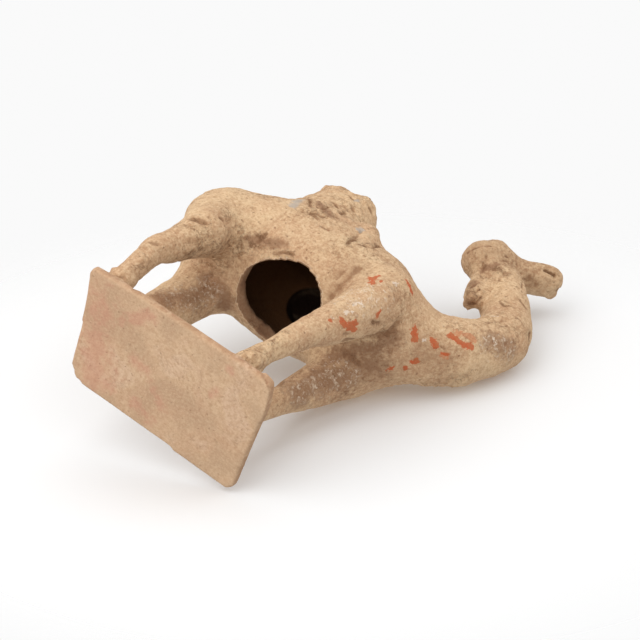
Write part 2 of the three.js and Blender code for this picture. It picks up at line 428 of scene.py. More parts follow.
# %% True up the belly hole
WAVER = 0.2 * MM
WAVES = 5  # of the hand, in one turn
FACES_IN = (0.1, 0.45)  # a point moves from the first facing on, and in full from the second
RAN_WIDE = (
    # the angle round the hole in degrees, and how many millimetres the tool ran wide there
    (165, 0.0),
    (185, 1.6),
    (203, 3.6),
    (222, 2.4),
    (245, 0.0),
)
DRAWN = 11 * MM  # so far from the edge the clay is drawn along


def by_angle(table, x, y):
    """The second column of a table at the angles of places round the hole."""
    return np.interp(np.degrees(np.arctan2(y, x)) % 360, *zip(*table))


def true_up(mesh):
    points, normals = read_points(mesh), read_normals(mesh)
    off, reach, low = round_hole(points)
    facing = -(normals[:, :2] * off).sum(axis=1) / reach
    cut = low * (np.abs(reach - HOLE_RADIUS) < CRISP) * np.interp(facing, FACES_IN, (0, 1))
    turn = np.arctan2(off[:, 1], off[:, 0])
    new_reach = reach + cut * (HOLE_RADIUS + WAVER * np.sin(WAVES * turn + 1) - reach)
    share = np.clip(1 - (reach - HOLE_RADIUS) / DRAWN, 0, 1) * (low & (reach > HOLE_RADIUS - 2 * CRISP))
    new_reach += share * by_angle(RAN_WIDE, *off.T) * MM
    points[:, :2] = np.array(HOLE_AT) + off * (new_reach / reach)[:, None]
    write_points(mesh, points)
    return int((cut > 0).sum())


print("set", true_up(clay), "points on the round of the cut")

# %% [markdown]
# The slab was cut by eye. Its right hind corner lies further back than the left one, and its right front
# corner was pushed in when the foot's clay was smeared over it. The points about each corner are drawn to
# where the photo has it.

# %% Draw two corners of the slab
CORNERS = (
    # the corner, how far it is drawn in X and Y, and how far round it the clay follows, in millimetres
    ((slab_low.x, slab_low.y), (-6.0, 3.0), 60.0),
    ((slab_high.x, slab_low.y), (-4.5, 2.5), 30.0),
)


def draw_corners(mesh):
    points = read_points(mesh)
    for corner, drawn, reach in CORNERS:
        away = np.linalg.norm(points[:, :2] - np.array(corner), axis=1)
        share = np.clip(1 - away / (reach * MM), 0, 1) ** 2 * np.clip(2 - points[:, 2] / SLAB_TOP, 0, 1)
        points[:, :2] += share[:, None] * np.array(drawn) * MM
    write_points(mesh, points)


draw_corners(clay)
print("drew", len(CORNERS), "corners of the slab")

# %% [markdown]
# ## Places seen in the photo
# Scars, strokes of the tool, patches of pigment and repairs each sit at one place on the real figure.
# Such a place is easiest to read off the photo. So each mark is written as a path of pixels, and a ray
# from the lens through each pixel finds where it lies on the clay. From there on the mark is a stroke on
# the body itself, with its radius in millimetres, and it stays there from whichever side the figure is
# seen.

# %% Look through a pixel
FRAME = 640  # pixels on each side of the picture
points = read_points(clay)
skin = BVHTree.FromPolygons(points.tolist(), [face.vertices[:] for face in clay.polygons])


def behind_pixel(x, y):
    """The place on the clay that shows at a pixel, or the nearest one where it just misses the clay."""
    across = PICTURE_RIGHT * (x - FRAME / 2) + PICTURE_DOWN * (y - FRAME / 2)
    ray = (across - TOWARDS_LENS * FRAME * LENS / SENSOR).normalized()
    found = skin.ray_cast(CAMERA_AT, ray)[0]
    if found is None:
        off = np.cross(points - np.array(CAMERA_AT), np.array(ray))
        found = Vector(points[np.linalg.norm(off, axis=1).argmin()])
    return found


def far_from(*pixels):
    """How far each point of the clay is from a path of pixels."""
    path = [behind_pixel(*pixel) for pixel in pixels]
    spans = zip(path, path[1:] or path)
    return np.min([np.linalg.norm(points - near_line(points, *span), axis=1) for span in spans], axis=0)


def within(strokes):
    """1 on the middle of a stroke, 0 at its radius and below zero beyond it."""
    near = np.full(len(points), -1.0)
    for radius, *pixels in strokes:
        near = np.maximum(near, 1 - far_from(*pixels) / (radius * MM))
    return near


def keep(name, values):
    """Stores one number for each point of the clay."""
    attribute = clay.attributes.new(name, "FLOAT", "POINT")
    attribute.data.foreach_set("value", np.asarray(values, dtype=np.float32))
    print(f"{name}: {int((np.asarray(values) > 0).sum())} points")


# %% [markdown]
# ## Forms pressed by hand
# The small forms that the melting can't hold are pressed in again here, each as a stroke that raises or
# lowers the clay: the crease of the topknot, the parted lips, the nostril, the ragged tuft, the fold
# where the foreleg leaves the chest, clods round the humps, and the scars of a long burial.

# %% Write down the forms
HEAD_FORMS = (
    # height and radius in millimetres, then the pixels that the stroke passes
    (-0.8, 2.2, (467, 253), (476, 248), (491, 246)),
    (1.6, 4.5, (494, 243), (501, 245)),
    (-0.9, 2.0, (486, 256), (486, 258)),
    (-1.3, 2.0, (506, 256), (508, 257)),
    (-1.0, 2.0, (494, 262), (508, 261)),
    (-1.2, 2.0, (495, 280), (502, 281)),
    (-1.1, 2.0, (498, 287), (511, 285), (519, 288)),
    (-1.6, 10.0, (529, 281), (533, 284)),
    (-1.5, 2.6, (521, 274), (522, 288)),
    (-4.6, 2.3, (545, 270.5), (554, 275)),
    (1.1, 3.0, (540, 266), (548, 266.5), (556, 271)),
    (0.9, 2.6, (545, 277), (554, 281)),
    (-1.4, 1.9, (559, 276), (560, 282), (557, 287)),
    (-3.4, 3.4, (560, 290.5), (557, 290.5)),
    (2.2, 4.5, (555, 296), (550, 297), (543, 293)),
    (1.4, 4.0, (559, 279), (558, 283)),
    (1.6, 5.0, (470, 262), (473, 270)),
    (-1.6, 3.5, (463, 279), (467, 281)),
    (-1.3, 4.0, (482, 268), (481, 280)),
    (1.2, 3.4, (486, 250), (496, 250)),
)
NECK_FORMS = (
    (1.3, 3.0, (484, 317), (492, 318.5), (502, 317)),
    (-1.1, 2.2, (486, 322), (497, 322), (506, 320)),
    (-0.9, 1.8, (499, 301), (504, 306), (511, 306)),
    (-0.8, 1.8, (500, 300), (507, 301.5), (512, 304)),
    (-0.8, 2.4, (521, 301), (526, 307)),
    (-2.2, 3.6, (530, 334), (529, 339)),
    (-0.8, 8.0, (449, 378), (464, 375)),
    (3.4, 30.0, (398, 380), (430, 382), (456, 382)),
    (-1.8, 2.0, (476, 283), (470, 290)),
    (-2.0, 2.0, (480, 289), (470, 298)),
    (-1.8, 2.0, (481, 298), (474, 305)),
    (1.8, 3.0, (469, 291), (477, 288)),
    (2.0, 3.2, (468, 298), (476, 296)),
    (3.4, 4.4, (464, 306), (469, 307)),
    (-0.8, 2.2, (483, 330), (500, 334)),
    (-0.8, 2.6, (505, 344), (520, 342)),
    (-0.9, 2.4, (488, 350), (496, 358)),
    (0.9, 3.0, (497, 342), (503, 350)),
    (-1.0, 2.0, (440, 345), (452, 360)),
)
BODY_FORMS = (
    (-2.6, 5.5, (345, 341), (370, 337), (389, 333), (398, 323)),
    (-1.6, 4.5, (359, 268), (346, 281), (331, 297)),
    (-2.4, 2.4, (363, 246), (372, 248), (380, 246)),
    (-1.4, 2.4, (347, 244), (356, 238), (362, 230)),
    (2.2, 8.0, (366, 238), (375, 238)),
    (-2.8, 4.8, (193, 219), (204, 222)),
    (1.2, 3.0, (190, 225), (203, 228)),
    (-1.8, 2.8, (221, 218), (223, 219)),
    (-1.0, 1.8, (208, 216), (212, 224)),
    (-1.2, 2.0, (191, 203), (201, 198), (216, 197)),
    (1.6, 6.0, (226, 193), (232, 193)),
    (-1.2, 4.5, (152, 242), (156, 243)),
    (-1.2, 3.0, (258, 242), (266, 234)),
    (-1.5, 2.4, (276, 254), (284, 252), (294, 254)),
    (-0.8, 1.6, (347, 303), (362, 300)),
    (-1.2, 2.6, (345, 334), (349, 335)),
    (-1.0, 2.2, (373, 322), (380, 324)),
    (-1.9, 4.8, (346, 355), (357, 362)),
    (-1.5, 4.0, (337, 278), (344, 271)),
    (-1.2, 2.0, (241, 358), (254, 365), (263, 375), (267, 383)),
    (1.6, 7.0, (268, 372), (272, 384)),
    (-1.2, 2.4, (110, 273), (124, 277), (136, 288)),
    (1.6, 4.0, (112, 268), (122, 272), (134, 281)),
    (3.4, 8.0, (247, 355), (257, 360)),
    (-4.0, 8.0, (278, 383), (277, 384)),
    (-1.2, 1.5, (180, 344.5), (181, 345.5)),
    (-1.0, 1.4, (151, 367), (153, 367.5)),
    (-1.0, 1.4, (236, 404), (236.5, 405)),
    (-1.0, 1.4, (122.5, 329.5), (123, 330)),
)
HUMP_FORMS = (
    (-2.4, 2.6, (309, 199), (311, 207)),
    (-2.2, 3.2, (309, 212), (318, 218)),
    (-2.4, 3.4, (323, 209), (329, 207)),
    (-2.0, 3.0, (335, 203), (337, 207)),
    (-2.2, 3.0, (340, 214), (346, 213)),
    (-1.6, 2.6, (322, 226), (329, 230)),
    (-1.8, 3.4, (352, 205), (354, 212)),
    (-1.6, 3.0, (368, 205), (372, 214)),
    (2.4, 4.6, (315, 204), (318, 203)),
    (2.6, 5.0, (330, 214), (334, 215)),
    (2.0, 4.6, (345, 203), (347, 205)),
    (1.8, 4.0, (322, 202), (326, 201)),
    (1.8, 4.4, (359, 215), (362, 218)),
    (2.8, 9.0, (325, 188), (340, 187)),
    (-2.6, 9.0, (354, 191), (375, 197)),
    (-2.0, 2.8, (349, 196), (353, 200)),
    (2.2, 4.5, (365, 203), (369, 205)),
    (-1.5, 2.4, (296, 209), (304, 212)),
)


# %% Press them
FACES_DOWN = -0.7  # the Z of a normal on the underside


def pressed(forms):
    """The height that all the forms together give each point, in millimetres."""
    total = np.zeros(len(points))
    for height, radius, *pixels in forms:
        near = np.clip(1 - far_from(*pixels) / (radius * MM), 0, 1)
        total += height * near * near * (3 - 2 * near)
    return total


form = pressed(HEAD_FORMS) + pressed(NECK_FORMS) + pressed(BODY_FORMS) + pressed(HUMP_FORMS)
underside = (read_normals(clay)[:, 2] < FACES_DOWN) & (points[:, 2] < SLAB_TOP)
form[underside] = np.minimum(form[underside], 0)  # it stands on this face, so nothing is raised there
print("the forms go from", round(form.min(), 1), "to", round(form.max(), 1), "mm")

# %% [markdown]
# ## Marks of colour
# These only colour the clay, so they aren't raised: orange-red pigment and the places where it is worn
# thin, whitish flakes and smears of its ground, grey fills of an old repair, brown stains, some of them
# also painted shade in the creases and pits they follow, broad painted shade under the forelegs, on the
# thighs and round the head, partly browner dirt, and a pinkish blush where the kiln's flame reached the
# slab.

# %% Write down the marks
PIGMENT = (
    # the radius in millimetres, then the pixels that the mark passes
    (2.6, (371, 283), (374, 278), (378, 276)),
    (2.4, (370, 278), (373, 283)),
    (1.4, (380, 282), (382, 281)),
    (2.2, (407, 281), (410, 288), (412, 293)),
    (3.6, (342, 321), (346, 324)),
    (4.4, (350, 327), (355, 325)),
    (2.2, (353, 330), (355, 330)),
    (1.6, (329, 320), (331, 320)),
    (2.2, (378, 315), (380, 312)),
    (3.4, (414, 328), (415, 339)),
    (2.4, (431, 340), (435, 341)),
    (2.8, (434, 344), (436, 347)),
    (2.9, (450, 335), (457, 341), (463, 345), (472, 347)),
    (1.5, (441, 353), (448, 355)),
    (2.8, (411, 362), (416, 362)),
    (2.2, (405, 367), (406, 368)),
    (1.8, (387, 370), (393, 367)),
    (1.2, (336, 233), (338, 237)),
)
WORN = (
    (3.2, (457, 333), (466, 335), (474, 341)),
    (1.2, (323, 228), (328, 230)),
    (2.4, (377, 316), (380, 312)),
    (2.4, (408, 284), (411, 291)),
    (3.0, (443, 354), (448, 356)),
    (2.2, (388, 371), (393, 367)),
)
FILLS = (
    (6.0, (293, 206), (300, 200)),
    (2.6, (356, 201), (358, 201)),
    (4.2, (358, 230), (362, 229)),
)
# brown stains, and painted shade along the pressed creases, pits and mouth slit that many of them follow
STAINS_AND_CREASE_SHADE = (
    (8.0, (474, 287), (471, 302)),
    (1.4, (467, 253), (476, 248), (491, 246)),
    (9.0, (450, 379), (462, 376)),
    (3.6, (351, 357), (359, 364)),
    (10.0, (190, 256), (212, 250), (240, 238)),
    (8.0, (262, 236), (258, 246)),
    (6.0, (276, 254), (294, 254)),
    (3.4, (311, 199), (310, 206), (314, 214)),
    (3.2, (327, 205), (336, 206)),
    (3.0, (338, 213), (346, 211)),
    (3.0, (320, 226), (328, 230)),
    (5.5, (363, 244), (379, 246)),
    (5.0, (348, 243), (356, 238)),
    (3.0, (372, 323), (379, 324)),
    (6.0, (194, 219), (204, 223)),
    (3.5, (221, 218), (223, 219)),
    (3.0, (545, 270.5), (554, 275)),
    (3.5, (520, 300), (527, 309)),
    (2.4, (499, 301), (504, 306), (511, 306)),
    (4.5, (530, 332), (529, 340)),
    (1.4, (505, 256), (508, 257)),
    (6.0, (496, 268), (506, 274)),
    (3.0, (484, 262), (486, 268)),
    (4.0, (262, 341), (272, 344)),
    (4.0, (285, 331), (290, 333)),
)
# painted shade where the right foreleg and the thighs shade the body, and browner dirt on the tuft, hump and
# head
PAINTED_SHADE_AND_DIRT = (
    (14.0, (162, 300), (195, 296), (214, 284)),
    (12.0, (222, 292), (226, 306)),
    (22.0, (300, 392), (340, 376), (372, 366)),
    (15.0, (352, 352), (392, 341)),
    (13.0, (326, 362), (342, 354)),
    (12.0, (316, 374), (326, 372)),
    (9.0, (474, 282), (470, 304)),
    (9.0, (242, 282), (247, 305), (262, 332)),
    (16.0, (490, 342), (512, 347)),
    (7.0, (484, 270), (497, 264)),
    (9.0, (318, 204), (330, 216)),
    (9.0, (250, 240), (282, 244)),
    (8.0, (205, 278), (214, 292)),
)
FAINT_SHADE_AND_TONE = (
    # painted shade, broader and fainter than the painted shades, in the thigh's crease, under the foreleg,
    # at the front of the chest and at the root of the muzzle, and a browner tone over the head
    (38.0, (480, 250), (545, 280)),
    (14.0, (530, 284), (534, 286)),
    (26.0, (352, 268), (335, 292)),
    (44.0, (335, 372), (375, 370)),
    (24.0, (425, 350), (445, 362)),
)
CHALK = (
    (2.6, (346, 312), (351, 311)),
    (1.6, (351, 306), (361, 302)),
    (2.6, (394, 283), (397, 283)),
    (1.4, (332, 318), (333, 318)),
    (1.8, (423, 340), (425, 340)),
    (1.4, (484, 317), (498, 317)),
    (1.2, (493, 340), (495, 344)),
)
FLAKED = (
    (22.0, (352, 300), (378, 292)),
    (20.0, (180, 296), (206, 296)),
    (16.0, (490, 346), (508, 350)),
    (14.0, (322, 366), (350, 376)),
    (14.0, (296, 392), (330, 386)),
)
BLUSH = (
    (13.0, (103, 300), (108, 316)),
    (9.0, (122, 322), (152, 316)),
    (14.0, (88, 352), (92, 376)),
    (8.0, (136, 360), (145, 368)),
    (10.0, (100, 380), (110, 388)),
    (10.0, (134, 402), (148, 418)),
    (9.0, (154, 390), (162, 408)),
    (5.0, (213, 395), (217, 392)),
    (4.0, (229, 368), (232, 373)),
    (24.0, (98, 300), (94, 372)),
)
# %% Measure how near each mark is
marks = {
    "pigment": PIGMENT,
    "worn": WORN,
    "fill": FILLS,
    "stain_and_crease_shade": STAINS_AND_CREASE_SHADE,
    "shade": PAINTED_SHADE_AND_DIRT,
    "chalk": CHALK,
    "flaked": FLAKED,
    "blush": BLUSH,
    "dusky": FAINT_SHADE_AND_TONE,
}
for name, strokes in marks.items():
    keep(name, within(strokes))

# %% [markdown]
# The rough clay pressed round the humps and the hair of the throat and topknot are places rather than
# marks, and they go round the body, so they are given in millimetres. The round recess in the ceiling of
# the hollow is a place too: hardly any light reaches it, and it is painted near-black as painted shadow.

# %% Measure the larger places
CRUST = (
    # the radius, and the two ends of its middle line
    (40.0, (-42, -20, 240), (-38, -16, 322)),
    (28.0, (-16, -22, 270), (-24, -14, 330)),
)
CRUST_SEEN = (
    # the radius in millimetres, then the pixels that it passes
    (22.0, (318, 204), (326, 214), (345, 212)),
)
HAIR = (
    (16.0, (128, 0, 376), (168, 0, 318)),
    (15.0, (168, 0, 318), (172, 0, 280)),
    (22.0, (86, -4, 380), (104, -4, 320)),
)
RECESS_SHADOW = ((22.0, (-3, 43, 241), (-3, 47, 245)),)
THIN_CRUST = 0.5  # its share where the photo doesn't show it
OUTER_FACING = 0.55  # clay that faces away from a middle line less than this lies in the hollow


def round_body(places):
    """As `within`, for lines in millimetres through the body."""
    near = np.full(len(points), -1.0)
    for radius, start, end in places:
        away = points - near_line(points, Vector(start) * MM, Vector(end) * MM)
        near = np.maximum(near, 1 - np.linalg.norm(away, axis=1) / (radius * MM))
    return near


def outwards(line):
    """How far the clay faces away from a middle line: 1 on the outside and -1 in the hollow."""
    away = points - near_line(points, *line)
    return (away * read_normals(clay)).sum(axis=1) / np.linalg.norm(away, axis=1)


thin_crust = THIN_CRUST * np.clip(2 * round_body(CRUST), 0, 1)
keep("crust", np.maximum(thin_crust, np.clip(1.6 * within(CRUST_SEEN), 0, 1)))
keep("hair", np.clip(2 * round_body(HAIR), 0, 1))
keep("recess_shadow", np.where(outwards(BODY_LINES[0]) < OUTER_FACING, round_body(RECESS_SHADOW), -1))

# %% [markdown]
# The cut face through the wall is painted darker, as painted shade, with a painted highlight along its
# edge, and the inner edge of the cut is uneven: the tool pushed clay into the hole there. Both are measured
# from the round of the hole. The cut sides of the slab are told by the way that they face.

# %% Measure the cut edges
WALL_INNER = 50.5 * MM  # from the middle line of the barrel
WALL_OUTER = 54.5 * MM
LIP = (
    # the angle round the hole in degrees, and how far the inner edge stands into it there, in millimetres
    (60, 0.0),
    (90, 1.5),
    (115, 2.4),
    (140, 2.6),
    (160, 3.4),
    (180, 1.0),
    (205, 0.0),
)
CUT_FACES = (0.35, 0.6)  # the cut face begins at the first facing, and is full from the second
SIDE_FACES = (0.2 / 1.5, 0.8)  # a side of the slab is full up to the first slope, and ends at the second
off_hole, from_middle, at_cut = round_hole(points)
from_hole = from_middle - by_angle(RAN_WIDE, *off_hole.T) * MM
from_barrel = np.linalg.norm(points - near_line(points, *BODY_LINES[0]), axis=1)


def near_cut(half):
    """1 up to so many millimetres from the edge of the belly hole, and 0 from twice as many on."""
    return np.clip(2 - np.abs(from_hole - HOLE_RADIUS) / (half * MM), 0, 1) * at_cut


def lip():
    """The height in millimetres that the uneven inner edge of the cut has over a straight one."""
    deep = np.clip((WALL_OUTER - from_barrel) / (WALL_OUTER - WALL_INNER), 0, 1)
    return near_cut(half=1.6) * deep * by_angle(LIP, *off_hole.T)


def cut_face():
    """1 where the clay at the hole faces its middle."""
    facing = -(read_normals(clay)[:, :2] * off_hole).sum(axis=1) / from_hole
    return near_cut(half=2.5) * np.interp(facing, CUT_FACES, (0, 1))


def on_slab_edge():
    """1 on the cut sides of the slab."""
    slope = np.abs(read_normals(clay)[:, 2])
    return np.interp(slope, SIDE_FACES, (1, 0)) * (points[:, 2] < SLAB_TOP + MM)


keep("edge", on_slab_edge())
keep("cut", near_cut(half=2.0))
keep("rim", cut_face())
keep("inside", inside_share(clay) * (1 - near_cut(half=1.2)))
keep("form", form + lip())

# %% [markdown]
# ## Raising the relief
# One Geometry Nodes tree gives the clay its handling: slow thumb marks everywhere, fine grain, clods in
# the crust of the humps, strands in the hair, pits on the flanks and the pressed forms with torn edges.
# Each has a named input for its height. The height that the tree moves each point by is kept as an
# attribute for the colours.

# %% Build the relief tree
HEIGHTS = {
    # in millimetres, and for the pressed forms the share of their own height
    "Thumbing": 1.1,
    "Dents": 0.7,
    "Grain": 0.5,
    "Wiping": 0.5,
    "Clods": 2.8,
    "Crumb": 1.3,
    "Crevices": 1.2,
    "Strands": 1.3,
    "Pits": 1.0,
    "Forms": 1.0,
}
CLODS_PER_METRE = 100.0
SLAB_HANDLING = 0.22  # the share of the handling that the smooth slab shows
CUT_SPARED = 0.75  # the share of it that the edge of the hole is spared


def relief_tree(material):
    group = bpy.data.node_groups.new("relief", "GeometryNodeTree")
    group.is_modifier = True
    group.interface.new_socket("Clay", in_out="INPUT", socket_type="NodeSocketGeometry")
    for name in HEIGHTS:
        group.interface.new_socket(name, in_out="INPUT", socket_type="NodeSocketFloat")
    group.interface.new_socket("Clay", in_out="OUTPUT", socket_type="NodeSocketGeometry")
    tree = Tree(group)
    given = tree.node("NodeGroupInput").outputs
    size = {name: Value(tree, given[name]) for name in HEIGHTS}
    place = tree.node("GeometryNodeInputPosition").outputs[0]

    def mark(name):
        return tree.add("GeometryNodeInputNamedAttribute", {"data_type": "FLOAT"}, {"Name": name})

    def swing(noise):
        return noise * 2 - 1

    outside = 1 - mark("inside")
    height = tree.axes(place)[2]
    slab = height.ramp(SLAB_TOP, SLAB_TOP + 4 * MM, SLAB_HANDLING, 1.0)
    thumbing = swing(tree.noise(place, 30.0, 2.0)) * size["Thumbing"]
    dents = swing(tree.noise(place, 75.0, 2.0)) * size["Dents"]
    grain = swing(tree.noise(place, 170.0, 3.0, 0.6)) * size["Grain"]
    wiping = swing(tree.noise(tree.stretched(place, (1.0, 1.0, 0.22)), 190.0, 2.0)) * size["Wiping"]
    cells = {"Vector": tree.warped(place, 90.0, 7 * MM), "Scale": CLODS_PER_METRE}
    clods = tree.add("ShaderNodeTexVoronoi", {"feature": "SMOOTH_F1"}, cells)
    borders = tree.add("ShaderNodeTexVoronoi", {"feature": "DISTANCE_TO_EDGE"}, cells)
    lumps = (0.5 - clods) + 0.8 * swing(tree.noise(place, 60.0, 3.0, 0.6))
    crevices = borders.ramp(0.0, 0.2, -1.0, 0.0) * tree.noise(place, 45.0, 2.0).ramp(0.46, 0.56)
    crumb = swing(tree.noise(place, 150.0, 4.0, 0.65))
    crust = (lumps * size["Clods"] + crumb * size["Crumb"] + crevices * size["Crevices"]) * mark("crust")
    strand = swing(tree.noise(tree.stretched(place, (1.0, 2.4, 0.5)), 130.0, 2.0))
    hair = strand * size["Strands"] * mark("hair")
    holes = tree.noise(place, 120.0, 1.0).ramp(0.66, 0.76) * tree.noise(place, 14.0, 1.0).ramp(0.45, 0.6)
    torn = 0.5 + tree.noise(place, 220.0, 2.0)
    forms = mark("form") * torn * size["Forms"]
    handling = thumbing + dents + grain + wiping - holes * size["Pits"]
    rise = (handling * slab * (1 - mark("cut") * CUT_SPARED) + crust + hair + forms) * outside
    normal = tree.node("GeometryNodeInputNormal").outputs[0]
    offset = tree.node("ShaderNodeVectorMath", {"operation": "SCALE"}, {0: normal, "Scale": rise * MM})
    kept = tree.node(
        "GeometryNodeStoreNamedAttribute",
        {"data_type": "FLOAT", "domain": "POINT"},
        {"Geometry": given["Clay"], "Name": "rise", "Value": rise},
    )
    shifted = {"Geometry": kept.outputs[0], "Offset": offset.outputs[0]}
    moved = tree.node("GeometryNodeSetPosition", None, shifted)
    real = tree.node("GeometryNodeRealizeInstances", None, {"Geometry": moved.outputs[0]})
    done = tree.node("GeometryNodeSetMaterial", None, {"Geometry": real.outputs[0], "Material": material})
    tree.node("NodeGroupOutput", None, {"Clay": done.outputs[0]})
    return group


print("the relief has", len(HEIGHTS), "named heights")

# %% [markdown]
# ## The clay's finish
# The clay is a dusty tan with mottled browner dirt, some of it caked, and it is painted darker where the
# relief sinks, as painted shade in its hollows. Brick-red pigment is left in patches with torn edges, and
# tiny flakes of a white ground cling to the flanks. All of it is a rule on the place in the clay, so it has
# no seams, and the marks come from the attributes measured above.


# %% Name the layers of colour
CLAY_DEPTH = 0.8  # the clay is this much darker than it looks on the screen in the strong light
SCREEN_GAMMA = 2.2
DEEP_CLAY = (208, 166, 129)
PALE_CLAY = (228, 192, 151)
BRIGHT_RED = (202, 84, 42)
PALE_RED = (194, 108, 68)
RED_COVER = 0.88
LAYERS = {
    # the colour as it shows on a screen, from 0 to 255, and how much of what lies below it the layer covers
    "dusting": ((238, 206, 164), 0.4),
    "slab": ((206, 170, 142), 0.45),
    "dark slab": ((180, 148, 118), 0.4),
    "pale slab": ((226, 192, 164), 0.4),
    "wiping": ((182, 140, 104), 0.72),
    "pale specks": ((248, 218, 178), 0.4),
    "dark specks": ((172, 128, 92), 0.42),
    # mottled dirt, and painted shade where the relief sinks
    "dirt_and_hollow_shade": ((150, 111, 80), 0.75),
    # painted shade, partly browner dirt
    "shade": ((146, 107, 80), 0.76),
    # broad faint painted shade, and a browner tone on the head
    "dusk": ((146, 104, 76), 0.34),
    # brown stains, partly painted shade in creases, pits and the mouth slit
    "stain_and_crease_shade": ((108, 76, 50), 0.66),
    "splits": ((128, 88, 58), 0.45),
    "pits": ((140, 98, 68), 0.5),
    # painted shade on the cut face of the hole, and next a painted highlight along its edge
    "cut face shade": ((146, 108, 82), 0.75),
    "cut highlight": ((240, 218, 190), 0.5),
    "slab edge": ((164, 116, 84), 0.55),
    "blush": ((206, 140, 118), 0.42),
    "fill": ((190, 182, 172), 0.7),
    "film": ((236, 212, 180), 0.35),
    "flakes": ((240, 218, 194), 0.55),
    "chalk": ((246, 230, 212), 0.6),
    "worn pigment": ((208, 132, 92), 0.62),
    # painted shade: the walls of the hollow are painted dark brown
    "hollow": ((104, 68, 40), 0.97),
    # painted shadow: the recess in the hollow's ceiling is painted near-black
    "recess_shadow": ((16, 8, 5), 0.9),
}


def tone(colour):
    """A colour as it shows on a screen, as the linear values of a shader."""
    return (*(CLAY_DEPTH * (c / 255) ** SCREEN_GAMMA for c in colour), 1.0)


print("the clay has", len(LAYERS), "layers over its own colour, and the pigment")

# %% [markdown]
# Each layer has a rule for where it lies, made of noise, the height of the relief and the marks. A noise
# less its middle, times a reach, frays the edge of a mark. Noise near its own middle runs in thin lines,
# which makes cracks.


# %% Make the clay
def about(noise, reach):
    """A noise that swings about 0."""
    return (noise - 0.5) * reach


def lines(noise, width, high=1.0):
    """High on the lines where a noise passes its middle, and 0 at a width from them."""
    return (noise - 0.5).size().ramp(0.0, width, high, 0.0)


